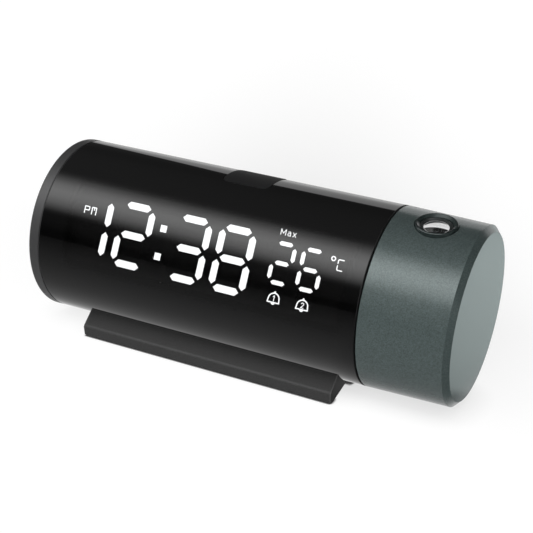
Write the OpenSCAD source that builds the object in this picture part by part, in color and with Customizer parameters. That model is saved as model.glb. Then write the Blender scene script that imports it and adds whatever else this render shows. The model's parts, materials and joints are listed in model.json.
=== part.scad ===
// Projection alarm clock: a glossy tube on a saddle foot, with a turning projector head on its right end.
// Millimetres. +Z is up and the front is -Y. The origin is the middle of the clock's box, at the table.
// Lengths along X are counted from the left end. Angles round the tube are counted up from the front: 90 is the top.

/* [Body] */
// Outer diameter of the body and of the projector head
body_d = 70; // [69:0.5:76]
// Length of the display tube
tube_len = 134.8; // [132:0.2:146]
// Wall of the display tube
tube_wall = 2; // [1.8:0.1:2.2]
// Height of the tube's lowest line over the table
body_lift = 1.65; // [1.6:0.05:2.4]
// Width of the left end cap's band
end_band = 5; // [4.6:0.2:7]
// Radius of the left end cap's edge
end_round = 1.4; // [0.8:0.1:2]
// Thickness of the left end cap's face
end_wall = 2.5; // [2:0.1:3]
// Bevel on both sides of each seam
seam_bevel = 0.25; // [0.15:0.05:0.4]

/* [Projector head] */
// Length of the head
head_len = 34.4; // [34:0.2:40]
// Running gap between the tube and the head
head_gap = 0.5; // [0.4:0.05:0.8]
// Wall of the head's shell
head_wall = 2.6; // [2.4:0.1:3]
// How much the shell's radius shrinks towards its far end
head_taper = 0.6; // [0.2:0.1:1]
// Length of the chamfer round the end face
chamfer_len = 2.1; // [1.6:0.1:2.6]
// Radial width of the chamfer round the end face
chamfer_rise = 2.4; // [1.8:0.1:2.8]
// Thickness of the end disc
disc_t = 2; // [1.6:0.1:2.4]
// Room between the end of the hub's spigot and the optics tube
optics_room = 1.25; // [1:0.05:1.6]
// Lean of the lens towards the front at rest, from straight up
lens_lean = 13.9; // [5:0.1:25]
// Turn from rest until the lens points at the wall in front
turn_front = 76; // [60:1:85]
// Turn from rest until the lens points at the wall behind
turn_back = 104; // [90:1:115]

/* [Lens] */
// Radius of the opening in the shell
lens_hole_r = 8.1; // [8:0.05:8.6]
// Outer radius of the focus ring
focus_r = 7.9; // [7.8:0.05:7.95]
// How far the focus ring's rim stands above the top of the head's surface
focus_proud = 0.4; // [0.1:0.05:0.6]
// Outer radius of the lens cell
cell_r = 5.95; // [5.8:0.05:6]
// Radius of the projection lens
lens_r = 4.65; // [4.3:0.05:4.8]
// Travel of the lens cell for a full turn of focus
focus_travel = 0.8; // [0.4:0.1:1]

/* [Hub] */
// Radius of the spigot that the head turns on
spigot_r = 9; // [8.6:0.1:10]
// Bore of the spigot, for the projector's lead
spigot_bore = 6.5; // [5.5:0.1:6.8]
// Radial running clearance on the spigot
run_fit = 0.05; // [0.03:0.01:0.08]
// Thickness of the hub disc in the tube
hub_t = 3.2; // [3:0.1:4]
// Thickness of the head's bearing plate
plate_t = 2.6; // [2.4:0.1:3]
// Length of the bearing plate's boss
boss_len = 2.4; // [2:0.1:2.8]

/* [Display] */
// Angle that the flat display faces, up from the front
display_angle = 19; // [16:0.5:22]
// Gap between the tube and the front corners of the display block
display_edge_gap = 0.45; // [0.3:0.05:1]
// Length of the display block
display_len = 119; // [118:0.5:121]
// Height of the display block
display_h = 31.2; // [30.8:0.1:31.4]
// Height of the display block's middle over the middle of the large digits
display_rise = 1; // [0.8:0.1:1.2]
// Distance from the left end to the display block
display_from_left = 14.4; // [14.2:0.1:14.8]
// Height between the top and middle bars of a large digit
digit_half = 11.45; // [11:0.05:11.6]
// Distance between the side bars of a large digit
digit_w = 12.7; // [12:0.1:13]
// Width of the bars of a large digit
bar_w = 2.8; // [2.4:0.1:3]
// Height between the top and middle bars of a small digit
small_half = 7.33; // [7:0.01:7.5]
// Distance between the side bars of a small digit
small_w = 7.7; // [7.4:0.1:8]
// Width of the bars of a small digit
small_bar_w = 1.65; // [1.4:0.05:1.8]

/* [Snooze key] */
// Distance from the left end to the middle of the key
snooze_from_left = 80; // [76:0.5:84]
// Length of the key along the tube
snooze_len = 19.5; // [17:0.5:22]
// Width of the key across the tube
snooze_wid = 19.5; // [17:0.5:21]
// Radius of the key's corners
snooze_corner = 2.6; // [1.5:0.1:3.5]
// Travel of the key
snooze_travel = 1; // [0.6:0.1:1.2]

/* [Rear panel] */
// Distance from the left end to the panel
panel_from_left = 28.4; // [27.8:0.2:30]
// Length of the panel
panel_len = 99; // [98:0.5:101]
// Height of the panel
panel_h = 25.6; // [25.2:0.2:26.4]
// Depth of the panel's recessed floor
panel_sink = 4; // [3.6:0.1:4.2]
// Width of the rim round the recess
panel_rim = 2; // [1.6:0.1:2.4]
// Thickness of the panel's floor
floor_t = 2; // [1.6:0.1:2.2]
// Distance between neighbouring keys
key_pitch = 11; // [10.5:0.1:11.2]
// Length of a key
key_len = 8; // [7.4:0.1:8.4]
// Height of a key
key_h = 5.5; // [5:0.1:6]
// How far a key stands out of the floor
key_proud = 1.3; // [1:0.1:1.6]
// Travel of a key
key_travel = 0.6; // [0.4:0.1:0.8]

/* [Foot] */
// Length of the foot
foot_len = 107.7; // [100:0.1:112]
// Distance from the left end to the foot
foot_from_left = 23.95; // [20:0.05:26]
// How far the front lip's lower edge lies behind the tube's foremost line
lip_inset = 7.1; // [5.5:0.1:8.5]
// Height of the lip's front face
lip_h = 4.3; // [3.6:0.1:5]
// How far the lip leans out over its height
lip_lean = 1.1; // [0.4:0.1:1.6]
// Width of the flat under each rail
rail_flat = 2.8; // [2.6:0.1:3.4]
// Thickness of the web under the tube
web_t = 1.1; // [0.9:0.05:1.2]
// Angle below the front at which the foot's slope meets the tube
slope_angle = 48.2; // [46:0.1:50]
// Angle below the front at which the foot's underside meets the tube
under_angle = 68.7; // [67:0.1:70]

/* [Boards and battery] */
// Height of the main board's underside under the tube's axis
board_drop = 8; // [7.6:0.1:8.4]
// Thickness of the circuit boards
board_t = 1.6; // [1.2:0.1:1.6]
// Diameter of the backup coin cell
cell_d = 20; // [16:1:20]
// Thickness of the backup coin cell
cell_t = 3.2; // [2:0.1:3.2]
// Diameter of the loudspeaker
speaker_d = 28; // [24:1:32]

/* [Hidden] */
$fn = 96;

// Clearances
fit = 0.1;          // between pieces that are fixed together
gap = 0.3;          // between faces that move apart
side_gap = 0.2;     // round a key in its opening
eps = 0.02;         // overlap that joins two shapes of one piece

// Fasteners, one small size throughout
screw_r = 1;        // thread
screw_hole_r = 1.3; // clearance hole
head_r = 2.2;
head_h = 1.6;
boss_r = 2.8;

// The body along X
body_r = body_d / 2;
tube_ri = body_r - tube_wall;
axis_h = body_r + body_lift;
total_len = end_band + tube_len + head_gap + head_len;
x_left = -total_len / 2;
x_tube = x_left + end_band;
x_hub = x_tube + tube_len;
x_head = x_hub + head_gap;
x_right = x_head + head_len;

// Left end cap
register_len = 6;
cup_len = 3;
register_wall = 1.8;
register_ro = tube_ri - fit;
register_ri = register_ro - register_wall;
speaker_r = speaker_d / 2;
speaker_flange = 1;
speaker_depth = 6.2;
magnet_r = speaker_r / 2 + 0.5;
magnet_len = 2;
cone_deep = 0.8;
cone_ring = 2;
cup_wall = 1.3;
sound_hole_r = 0.9;
sound_pitch = 4;
sound_rings = 2;

// Inner chassis
chassis_gap = 0.15;
sleeve_ro = tube_ri - chassis_gap;
sleeve_t = 1.3;
sleeve_ri = sleeve_ro - sleeve_t;
sleeve_top = sleeve_ro / 2;
rib_t = 3;
x_chassis = x_tube + register_len + gap + fit;
x_chassis_end = x_hub - hub_t;
board_z = -board_drop;
arm_t = 3;
foot_boss_len = 5;
board_front = 21;
chip_size = 12;
chip_t = 1.4;
capacitor_r = 3;
capacitor_h = 7;
header_w = 6;
header_l = 8;
header_h = 3;
lead_r = 1.1;

// Display block, in the frame of the display: X along the tube, Y up the face, Z out of it
display_t = 5;
display_top = display_rise + display_h / 2;
display_d = sqrt(pow(tube_ri - display_edge_gap, 2) - pow(display_top, 2)); // of its face, from the tube's axis
x_display = x_left + display_from_left;
segment_depth = 3.5;
segment_fit = 0.04;
display_back = display_d - display_t - board_t;
digit_y = 0;
large_x = [24.1, 42.6, 67.3, 85.8];   // middles of the large digits from the left end
small_x = [105.5, 116.9];                // middles of the small digits from the left end
small_y = 2.95;
colon_x = 54.9;
colon_y = 5.45;
colon_size = 2.75;
bar_gap = 1;                             // between the points of neighbouring bars, along each
bell_x = [105.5, 117];
bell_y = -10;
bell_size = [6.4, 6];
pm_at = [21.65, 6.1];
pm_size = [7, 4];
max_at = [105.55, 14.4];
max_size = [8, 2.4];
unit_at = [126.4, 7.2];
unit_size = [6.6, 5.4];

// Snooze key
snooze_x = x_left + snooze_from_left;
snooze_proud = 0.1;
snooze_flange = 1.5;
snooze_flange_t = 1.2;
stem_r = 2;
switch_size = 6;
switch_h = 3.5;
plunger_r = 1.7;
plunger_h = 0.8;
shelf_t = 2;
shelf_spread = 12;
shelf_front = 17.5;
snooze_stem_len = 2.5;
press_gap = 0.1;    // left over a switch's plunger with the key pressed
snooze_flange_r = tube_ri - gap;
snooze_stem_z = snooze_flange_r - snooze_flange_t - snooze_stem_len;
snooze_plunger_top = snooze_stem_z - snooze_travel - press_gap;
snooze_board_z = snooze_plunger_top - plunger_h - switch_h - board_t;

// Rear panel
x_panel = x_left + panel_from_left;
panel_top_r = body_r - 0.1;
panel_flange = 2.2;
panel_corner = 1.5;
floor_d = body_r - panel_sink;             // of its outer face, from the tube's axis
floor_in = floor_d - floor_t;
flange_t = 1.4;
flange_in = floor_in - flange_t;
key_from_panel = 7;
key_x = [for (i = [0:5]) x_panel + key_from_panel + i * key_pitch];
key_z = 2;
key_corner = 1.2;
key_flange = 0.8;
key_flange_t = 1.1;
key_stem = 2.3;
key_back = floor_in - gap - key_flange_t;
key_stem_r = 1.5;
key_plunger_top = key_back - key_stem - key_travel - press_gap;
key_board_d = key_plunger_top - plunger_h - switch_h;
post_r = 1.8;
post_z = 8.9;
post_key = [0, 2, 4];
key_board_over = 2.4;                      // of the key board over the posts
vent_n = 5;
vent_w = 1.2;
vent_pitch = 2.6;
vent_low = 2;
vent_high = 9;

// Sockets
usb_w = 13.2;
usb_h = 5.8;
usb_deep = 14;
usb_wall = 0.4;
usb_back = 1.5;
usb_tongue_inset = 1;
usb_tongue_gap = 0.5;
usb_x = x_panel + 76;
inlet_w = 9;
inlet_h = 3.3;
inlet_deep = 8;
inlet_wall = 0.35;
inlet_tongue_w = 6.6;
inlet_tongue_t = 0.7;
inlet_x = x_panel + 91;
socket_gap = 0.25;
socket_sink = 0.1;  // how far the mouths stand back from the panel's floor
board_top = board_z + board_t;

// Backup battery, under the main board
door_x = x_left + foot_from_left + foot_len / 2;
door_len = 34;
door_wid = 25;
door_gap = 0.2;
door_corner = 2;
cell_lift = 2;
cell_x = door_x - 1.5;
cell_fit = 0.15;
holder_wall = 1.2;
holder_inset = 3;
cell_z = -(tube_ri - cell_lift);
holder_h = cell_t + 2.2;
holder_y = cell_d / 2 + holder_wall + 0.2;
door_screw_x = door_x + door_len / 2 - 3.6;
door_recess = 1;
door_screw_len = 5;
door_screw_head = 0.9;
chip_from_door = 30;
x_chip = door_x - chip_from_door;
capacitor_from_door = 18;
capacitor_pitch = 8;
x_capacitor = door_x + capacitor_from_door;
lead_from_hub = 13;
x_lead = x_hub - lead_from_hub;

// Foot
saddle_r = body_r + 0.05;
strip_proud = 0.3;
strip_w = 2;
strip_deep = 0.5;
strip_inset = 2;
foot_bevel = 0.4;
web_half = 15;
foot_window = 1.2;  // room round the battery door
foot_screw_len = 9;
x_foot = x_left + foot_from_left;
foot_screw_angle = 59;
foot_screw_inset = 10;
web_left = 1.8;
foot_z = -axis_h + strip_proud;
lip_y = body_r - lip_inset;

// Hub and head
plate_inset = 0.5;
x_plate = x_head + plate_inset;
x_boss = x_plate + plate_t;
x_boss_end = x_boss + boss_len;
washer_t = 0.4;
x_washer = x_boss_end + gap;
x_clip = x_washer + washer_t + run_fit;
clip_t = 1;
clip_depth = 0.8;
clip_mouth = 60;    // angle that the clip leaves open
x_spigot_end = x_clip + clip_t + 2 * gap;
shell_ri = body_r - head_wall;
tip_r = body_r - head_taper;
face_r = tip_r - chamfer_rise;
ledge = 1.8;
ledge_t = 1.2;
x_disc = x_right - disc_t;
lug_r = 3;
lug_len = 4;
lug_at = shell_ri - head_r - fit;
lug_angles = [-45, 165, 285];
hub_screw_inset = 6;
hub_screw_at = tube_ri - hub_screw_inset;
stop_w = 4;
stop_room = 1;
stop_r = hub_screw_at - head_r - stop_room - stop_w;
stop_deep = 1.3;
stop_angle = 90;
tab_w = 3;
tab_half = asin(tab_w / 2 / stop_r) + 0.6;
hub_screw_angles = [-90, -35, -145];
clip_lip = 1.8;
washer_lip = 2.6;
ear_post_r = 2.4;

// Optics, in the frame of the lens: Z out along the lens axis, from the axis of the head
lens_angle = 90 - lens_lean;
optics_r = 7.2;
lens_x = x_spigot_end + optics_room + optics_r;
optics_bottom = -9;
focus_top = body_r + focus_proud;
ring_inner_h = 4;
optics_top = focus_top - ring_inner_h;
chamber_r = 5.6;
cell_bottom = 21;
ring_fit = 0.08;
ring_flange_r = 9;
ring_flange_t = 1.1;
ring_h = 5.6;
ring_round = 0.45;  // of the rim's outer edge
ring_rim = 0.8;
ring_slope = 0.7;   // how far the ring's sloped face falls towards the lens
ring_bottom = focus_top - ring_h;
ring_in_r = cell_r + 0.2;
cell_sink = 1;
cell_top = focus_top - cell_sink;
lens_sink = 0.7;
lens_seat = cell_top - lens_sink;
lens_edge = 1.2;    // thickness of the lens at its edge
cell_step = 0.35;   // of the two rings round the lens
cell_lip = 0.6;     // how far the cell's shoulder reaches under the lens
dome_h = 0.5;
slide_s = 9;
slide_t = 1.2;
slide_w = 12.6;
slide_l = 11;
condenser_s = 1;
condenser_t = 2.2;
ear_t = 2.6;
ear_s = 18.5;
ear_y = 9.2;
ear_h = 6;
x_ear = lens_x - optics_r - 0.15;
ear_screw_len = 6.4;
condenser_dome = 2.4;
led_base = 1.6;
led_r = 2.5;
led_board_w = 15;
led_board_l = 18;

ALL_BARS = [0, 1, 2, 3, 4, 5, 6];
LEADING_BARS = [0, 1, 2, 3, 4, 6]; // the PM sign takes the place of the leading digit's upper left bar

GLOSS_BLACK = [0.03, 0.03, 0.035];
SATIN_GREY = [0.2, 0.2, 0.2];
HEAD_GREEN = [0.37, 0.43, 0.42];
BOARD_GREEN = [0.05, 0.25, 0.12];
METAL = [0.7, 0.7, 0.68];

// ---- Helpers -------------------------------------------------------------------------------------------

// The tube's axis, at its height over the table
module on_axis() { translate([0, 0, axis_h]) children(); }

// Turns a shape that points up so that it points at an angle above the front
module facing(angle) { rotate([90 - angle, 0, 0]) children(); }

// Turns a shape that points up so that it points to the rear
module to_rear() { rotate([-90, 0, 0]) children(); }

module rod_x(r, x0, x1) { translate([x0, 0, 0]) rotate([0, 90, 0]) cylinder(r = r, h = x1 - x0); }

module tube_x(r_out, r_in, x0, x1) {
  difference() {
    rod_x(r_out, x0, x1);
    rod_x(r_in, x0 - 1, x1 + 1);
  }
}

// Revolves an outline of (radius, x) round the X axis
module spin_x(points) { rotate([0, 90, 0]) rotate_extrude() polygon(points); }

// Part of a ring round X, from one angle above the front to a larger one
module arc_x(r0, r1, x0, x1, from_a, to_a) {
  rotate([0, 90, 0]) rotate([0, 0, -90 - to_a]) rotate_extrude(angle = to_a - from_a)
    translate([r0, x0]) square([r1 - r0, x1 - x0]);
}

module rounded_rect(w, h, r) {
  square([w - 2 * r, h], center = true);
  square([w, h - 2 * r], center = true);
  for (sx = [-1, 1], sy = [-1, 1]) translate([sx * (w / 2 - r), sy * (h / 2 - r)]) circle(r, $fn = 48);
}

module box(low, high) { translate(low) cube(high - low); }

// A screw with its head's underside at 0, its shank down and its head up
module screw(len, head = head_h) {
  translate([0, 0, -len]) cylinder(r = screw_r, h = len + eps, $fn = 24);
  difference() {
    cylinder(r = head_r, h = head, $fn = 32);
    for (a = [0, 90]) rotate([0, 0, a]) translate([-1.3, -0.25, head / 2]) cube([2.6, 0.5, head]);
  }
}

// ---- Body ----------------------------------------------------------------------------------------------

module snooze_outline(grow) {
  rounded_rect(snooze_len + 2 * grow, snooze_wid + 2 * grow, snooze_corner + grow);
}

module panel_outline(grow, r) {
  translate([x_panel + panel_len / 2, 0]) rounded_rect(panel_len + 2 * grow, panel_h + 2 * grow, r);
}

module door_outline(grow) {
  translate([door_x, 0]) rounded_rect(door_len + 2 * grow, door_wid + 2 * grow, door_corner + grow);
}

// Places a radial shape at each of the foot's four screws
module at_foot_screws() {
  for (x = [x_foot + foot_screw_inset, x_foot + foot_len - foot_screw_inset])
    for (a = [-foot_screw_angle, -180 + foot_screw_angle]) translate([x, 0, 0]) facing(a) children();
}

module display_tube() color(GLOSS_BLACK) on_axis() difference() {
  spin_x([
    [tube_ri, x_tube], [body_r - seam_bevel, x_tube], [body_r, x_tube + seam_bevel],
    [body_r, x_hub - seam_bevel], [body_r - seam_bevel, x_hub], [tube_ri, x_hub]
  ]);
  translate([snooze_x, 0, 0]) linear_extrude(body_r + 1) snooze_outline(side_gap);
  to_rear() linear_extrude(body_r + 1) panel_outline(fit, panel_corner + fit);
  mirror([0, 0, 1]) linear_extrude(body_r + 1) door_outline(door_gap);
  at_foot_screws() cylinder(r = screw_hole_r, h = body_r + 1, $fn = 32);
}

module sound_holes() {
  circle(sound_hole_r, $fn = 24);
  for (ring = [1:sound_rings], i = [0:6 * ring - 1])
    rotate(i * 60 / ring) translate([ring * sound_pitch, 0]) circle(sound_hole_r, $fn = 24);
}

module left_end_cap() color(SATIN_GREY) on_axis() difference() {
  union() {
    translate([x_left, 0, 0]) rotate([0, 90, 0]) rotate_extrude() {
      square([body_r - end_round, end_band]);
      translate([0, end_round]) square([body_r - seam_bevel, end_band - end_round]);
      translate([0, end_round]) square([body_r, end_band - end_round - seam_bevel]);
      intersection() {
        translate([body_r - end_round, end_round]) circle(end_round, $fn = 48);
        square([body_r, end_band]);
      }
    }
    rod_x(register_ro, x_left + end_wall, x_tube + register_len);
  }
  difference() {
    rod_x(register_ri, x_left + end_wall, x_tube + register_len + 1);
    tube_x(speaker_r + fit + cup_wall, speaker_r + fit, x_left, x_left + end_wall + cup_len);
  }
  translate([x_left - 1, 0, 0]) rotate([0, 90, 0]) linear_extrude(end_wall + 2) sound_holes();
}

// The face of an inner rib, up to the main board and up behind the display
module rib(x, t) {
  intersection() {
    rod_x(sleeve_ro, x, x + t);
    union() {
      box([x - 1, -body_r, -body_r], [x + t + 1, body_r, board_z]);
      facing(display_angle) box([x - 1, -body_r, display_back - arm_t], [x + t + 1, body_r / 2, display_back]);
    }
  }
}

// A rib whose arm carries one end of the snooze switch's board
module shelf_rib(x) {
  rib(x, shelf_t);
  intersection() {
    rod_x(sleeve_ro, x, x + shelf_t);
    difference() {
      box([x - 1, -shelf_front, snooze_board_z - shelf_t], [x + shelf_t + 1, switch_size, snooze_board_z]);
      facing(display_angle) box([x - 2, -body_r, display_back], [x + shelf_t + 2, body_r, body_r]);
    }
  }
}

module chassis() color([0.12, 0.12, 0.13]) on_axis() difference() {
  union() {
    intersection() {
      tube_x(sleeve_ro, sleeve_ri, x_chassis, x_chassis_end);
      box([x_chassis - 1, -body_r, -body_r], [x_hub, body_r, -sleeve_top]);
    }
    rib(x_chassis, rib_t);
    rib(x_chassis_end - rib_t, rib_t);
    for (side = [-1, 1]) shelf_rib(snooze_x + side * shelf_spread - shelf_t / 2);
    at_foot_screws() translate([0, 0, sleeve_ri - foot_boss_len])
      cylinder(r = boss_r, h = foot_boss_len + sleeve_t / 2, $fn = 32);
  }
  at_foot_screws() translate([0, 0, sleeve_ri - foot_boss_len - 1])
    cylinder(r = screw_r, h = foot_boss_len + sleeve_t + 2, $fn = 24);
  for (a = hub_screw_angles) facing(a) translate([0, 0, hub_screw_at]) rod_x(screw_r, x_hub - 12, x_hub);
  box([door_x - door_len / 2 + holder_inset, -holder_y - fit, -body_r],
      [door_x + door_len / 2 + fit, holder_y + fit, cell_z + holder_h + 1]);
  // Room for the rear panel
  to_rear() translate([0, 0, flange_in - gap]) linear_extrude(body_r)
    panel_outline(panel_flange + gap, panel_corner);
}

// ---- Display -------------------------------------------------------------------------------------------

// A bar with pointed ends along X, its length taken from point to point
module bar(len, w) {
  p = len / 2;
  s = p - w / 2;
  polygon([[-p, 0], [-s, -w / 2], [s, -w / 2], [p, 0], [s, w / 2], [-s, w / 2]]);
}

// The chosen bars of one digit, in the order a to g
module digit(half, w, bw, shrink, bars = ALL_BARS) {
  flat_len = w - 2 * bar_gap - 3 * shrink;
  side_len = half - 2 * bar_gap - 3 * shrink;
  places = [
    [0, half, 0, flat_len], [w / 2, half / 2, 90, side_len], [w / 2, -half / 2, 90, side_len],
    [0, -half, 0, flat_len], [-w / 2, -half / 2, 90, side_len], [-w / 2, half / 2, 90, side_len],
    [0, 0, 0, flat_len]
  ];
  for (i = bars) translate([places[i][0], places[i][1]]) rotate(places[i][2])
    bar(places[i][3], bw - 2 * shrink);
}

// Every lit shape of the display, from the display block's own frame; shrink makes the bars fit their cells
module display_cells(shrink) {
  for (i = [0:3]) translate([x_left + large_x[i], digit_y])
    digit(digit_half, digit_w, bar_w, shrink, i == 0 ? LEADING_BARS : ALL_BARS);
  for (x = small_x) translate([x_left + x, small_y]) digit(small_half, small_w, small_bar_w, shrink);
  for (side = [-1, 1]) translate([x_left + colon_x, side * colon_y])
    square(colon_size - 2 * shrink, center = true);
  for (x = bell_x) translate([x_left + x, bell_y])
    square([bell_size[0] - 2 * shrink, bell_size[1] - 2 * shrink], center = true);
  for (w = [[pm_at, pm_size], [max_at, max_size], [unit_at, unit_size]])
    translate([x_left + w[0][0], w[0][1]]) square([w[1][0] - 2 * shrink, w[1][1] - 2 * shrink], center = true);
}

module in_display() { on_axis() facing(display_angle) children(); }

module display_block(from_d, to_d) {
  y0 = display_rise - display_h / 2;
  box([x_display, y0, from_d], [x_display + display_len, y0 + display_h, to_d]);
}

module display_frame() color([0.04, 0.04, 0.04]) in_display() difference() {
  display_block(display_d - display_t, display_d);
  translate([0, 0, display_d - segment_depth]) linear_extrude(segment_depth + 1) display_cells(0);
}

module display_segments() color("white") in_display()
  translate([0, 0, display_d - segment_depth]) linear_extrude(segment_depth - segment_fit)
    display_cells(segment_fit);

module display_board() color(BOARD_GREEN) in_display() display_block(display_back, display_back + board_t);

// ---- Boards, speaker and battery -----------------------------------------------------------------------

module main_board() color(BOARD_GREEN) on_axis() {
  box([x_chassis, -board_front, board_z], [x_chassis_end, flange_in - gap, board_top]);
  // Clock chip, capacitors and the header of the projector's lead
  box([x_chip, -chip_size, board_top - eps], [x_chip + chip_size, 0, board_top + chip_t]);
  for (i = [0, 1]) translate([x_capacitor + i * capacitor_pitch, -chip_size, board_top - eps])
    cylinder(r = capacitor_r, h = capacitor_h, $fn = 32);
  box([x_lead - header_w / 2, -header_l / 2, board_top - eps],
      [x_lead + header_w / 2, header_l / 2, board_top + header_h]);
}

module speaker() color([0.15, 0.15, 0.16]) on_axis() {
  x0 = x_left + end_wall + gap;
  difference() {
    spin_x([
      [0, x0 + cone_deep], [speaker_r - cone_ring - 1, x0 + cone_deep], [speaker_r - cone_ring, x0],
      [speaker_r, x0], [speaker_r, x0 + speaker_flange], [speaker_r - cone_ring, x0 + speaker_flange],
      [magnet_r, x0 + speaker_depth - magnet_len], [magnet_r, x0 + speaker_depth], [0, x0 + speaker_depth]
    ]);
    rod_x(speaker_r / 3, x0 - 1, x0 + cone_deep + 0.4);
  }
}

module cell_holder() color([0.1, 0.1, 0.1]) on_axis() difference() {
  intersection() {
    box([door_x - door_len / 2 + holder_inset + fit, -holder_y, -body_r],
        [door_x + door_len / 2, holder_y, cell_z + holder_h]);
    rod_x(tube_ri - fit, x_tube, x_hub);
  }
  translate([cell_x, 0, -body_r]) cylinder(r = cell_d / 2 + cell_fit, h = body_r + cell_z + cell_t + 2 * cell_fit);
  translate([door_screw_x, 0, -body_r]) cylinder(r = screw_r, h = 8, $fn = 24);
}

module backup_cell() color(METAL) on_axis() translate([cell_x, 0, cell_z]) {
  can_h = cell_t * 0.75;
  cylinder(r = cell_d / 2, h = can_h);
  translate([0, 0, can_h - eps]) cylinder(r = cell_d / 2 - 1.3, h = cell_t - can_h + eps);
}

module cell_door() color(GLOSS_BLACK) on_axis() difference() {
  intersection() {
    mirror([0, 0, 1]) linear_extrude(body_r) door_outline(0);
    tube_x(body_r - 0.05, tube_ri, x_tube, x_hub);
  }
  translate([door_screw_x, 0, -body_r - 1]) cylinder(r = screw_hole_r, h = tube_wall + 4, $fn = 32);
  translate([door_screw_x, 0, -body_r - door_recess]) cylinder(r = head_r + cell_fit, h = 2 * door_recess, $fn = 32);
}

module door_screw() color(METAL) on_axis() translate([door_screw_x, 0, -body_r + door_recess]) mirror([0, 0, 1])
  screw(door_screw_len, door_screw_head);

// ---- Snooze key ----------------------------------------------------------------------------------------

module snooze_key() color([0.1, 0.1, 0.1]) on_axis() translate([snooze_x, 0, 0]) {
  intersection() {
    linear_extrude(body_r + 1) snooze_outline(0);
    tube_x(body_r + snooze_proud, snooze_flange_r - snooze_flange_t, -snooze_len, snooze_len);
  }
  intersection() {
    linear_extrude(body_r) snooze_outline(snooze_flange);
    tube_x(snooze_flange_r, snooze_flange_r - snooze_flange_t, -snooze_len, snooze_len);
  }
  translate([0, 0, snooze_stem_z]) cylinder(r = stem_r, h = snooze_stem_len + 0.5, $fn = 32);
}

module tact_switch() {
  translate([-switch_size / 2, -switch_size / 2, -eps]) cube([switch_size, switch_size, switch_h + eps]);
  cylinder(r = plunger_r, h = switch_h + plunger_h, $fn = 24);
}

module snooze_switch() color([0.15, 0.15, 0.15]) on_axis() translate([snooze_x, 0, snooze_board_z]) {
  box([-shelf_spread - switch_size / 2, -switch_size, 0], [shelf_spread + switch_size / 2, switch_size, board_t]);
  translate([0, 0, board_t]) tact_switch();
}

// ---- Rear panel ----------------------------------------------------------------------------------------

module key_outline(i, grow) {
  translate([key_x[i], -key_z]) rounded_rect(key_len + 2 * grow, key_h + 2 * grow, key_corner + grow);
}

module rear_panel() color([0.08, 0.08, 0.08]) on_axis() difference() {
  union() {
    intersection() {
      to_rear() translate([0, 0, floor_in]) linear_extrude(body_r) panel_outline(0, panel_corner);
      rod_x(panel_top_r, x_tube, x_hub);
    }
    intersection() {
      to_rear() translate([0, 0, flange_in]) linear_extrude(flange_t + 1) difference() {
        panel_outline(panel_flange, panel_corner);
        panel_outline(-panel_rim, panel_corner);
      }
      rod_x(tube_ri - fit, x_tube, x_hub);
    }
    for (i = post_key) translate([key_x[i] + key_pitch / 2, 0, post_z]) to_rear()
      translate([0, 0, key_board_d]) cylinder(r = post_r, h = floor_in - key_board_d + 0.5, $fn = 32);
  }
  to_rear() translate([0, 0, floor_d]) linear_extrude(body_r) panel_outline(-panel_rim, 1);
  for (i = [0:5]) to_rear() translate([0, 0, floor_in - 5]) linear_extrude(body_r) key_outline(i, side_gap);
  for (i = [0:vent_n - 1]) translate([usb_x + (i - (vent_n - 1) / 2) * vent_pitch, 0, 0])
    box([-vent_w / 2, floor_in - 3, vent_low], [vent_w / 2, body_r, vent_high]);
  box([usb_x - usb_w / 2 - socket_gap, floor_in - 4, board_top - 1],
      [usb_x + usb_w / 2 + socket_gap, body_r, board_top + usb_h + socket_gap]);
  box([inlet_x - inlet_w / 2 - socket_gap, floor_in - 4, board_top - 1],
      [inlet_x + inlet_w / 2 + socket_gap, body_r, board_top + inlet_h + socket_gap]);
}

module key(i) color([0.16, 0.16, 0.16]) on_axis() to_rear() {
  translate([0, 0, key_back]) linear_extrude(floor_d + key_proud - key_back) key_outline(i, 0);
  translate([0, 0, key_back]) linear_extrude(key_flange_t) key_outline(i, key_flange);
  translate([key_x[i], -key_z, key_back - key_stem]) cylinder(r = key_stem_r, h = key_stem + 1, $fn = 24);
}

module key_board() color(BOARD_GREEN) on_axis() {
  box([key_x[0] - key_pitch / 2, key_board_d - board_t, board_top],
      [key_x[5] + key_pitch / 2, key_board_d, post_z + key_board_over]);
  for (x = key_x) translate([x, key_board_d, key_z]) to_rear() tact_switch();
}

module usb_outlet() color(METAL) on_axis() translate([usb_x, floor_d - socket_sink, board_top]) {
  difference() {
    box([-usb_w / 2, -usb_deep, 0], [usb_w / 2, 0, usb_h]);
    box([-usb_w / 2 + usb_wall, -usb_deep + usb_back, usb_wall], [usb_w / 2 - usb_wall, 1, usb_h - usb_wall]);
  }
  box([-usb_w / 2 + usb_tongue_inset, -usb_deep + usb_back / 2, usb_h / 2],
      [usb_w / 2 - usb_tongue_inset, -usb_tongue_inset, usb_h - usb_wall - usb_tongue_gap]);
}

module power_inlet() color(METAL) on_axis()
translate([inlet_x, floor_d - socket_sink, board_top + inlet_h / 2]) {
  rotate([90, 0, 0]) difference() {
    linear_extrude(inlet_deep) rounded_rect(inlet_w, inlet_h, inlet_h / 2 - 0.02);
    translate([0, 0, -1]) linear_extrude(inlet_deep)
      rounded_rect(inlet_w - 2 * inlet_wall, inlet_h - 2 * inlet_wall, inlet_h / 2 - inlet_wall - 0.02);
  }
  box([-inlet_tongue_w / 2, -inlet_deep + 0.5, -inlet_tongue_t / 2],
      [inlet_tongue_w / 2, -0.8, inlet_tongue_t / 2]);
}

// ---- Foot ----------------------------------------------------------------------------------------------

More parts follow.
